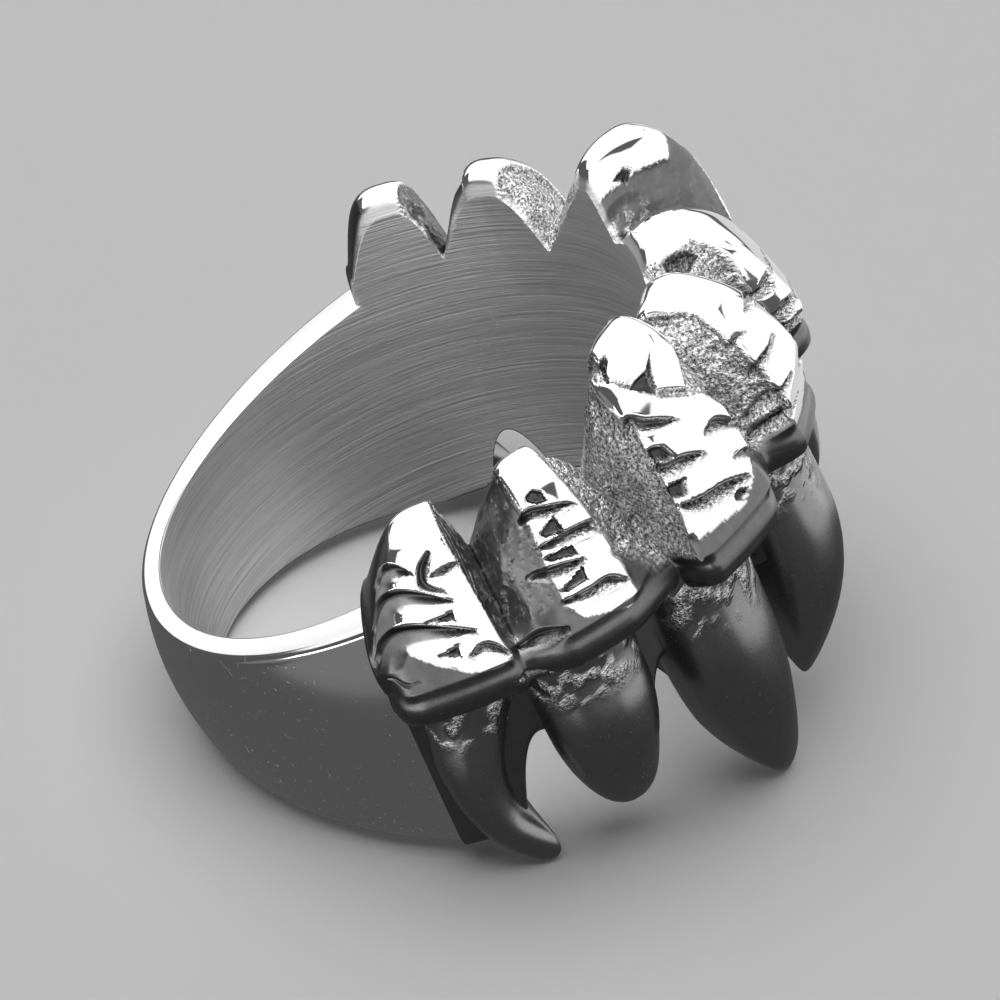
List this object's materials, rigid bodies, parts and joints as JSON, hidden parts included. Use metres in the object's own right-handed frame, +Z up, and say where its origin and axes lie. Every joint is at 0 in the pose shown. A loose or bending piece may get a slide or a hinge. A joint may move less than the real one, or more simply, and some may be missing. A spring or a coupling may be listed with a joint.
{
  "type": "claw ring",
  "caption": "Cast metal finger ring: a plain flaring band whose front is a paw, with creased toes side by side, a cuticle fold below them and hooked talons pointing down along the finger.",
  "frame": {"origin": "middle of the bounding box on the floor, with the ring lying on its side as it rests by itself", "axes": "+Z up; +Y towards the plain back of the band, so that the front toes and talons are towards -Y; the finger hole leans 16 degrees from +Z towards +Y"},
  "size_m": [0.0274, 0.025, 0.018],
  "materials": {
    "steel": "polished band, toe caps and ridges, satin fold and talons, sandy cast channels, brushed bore"
  },
  "bodies": {
    "root": {"claw_ring": "steel"}
  },
  "joints": []
}
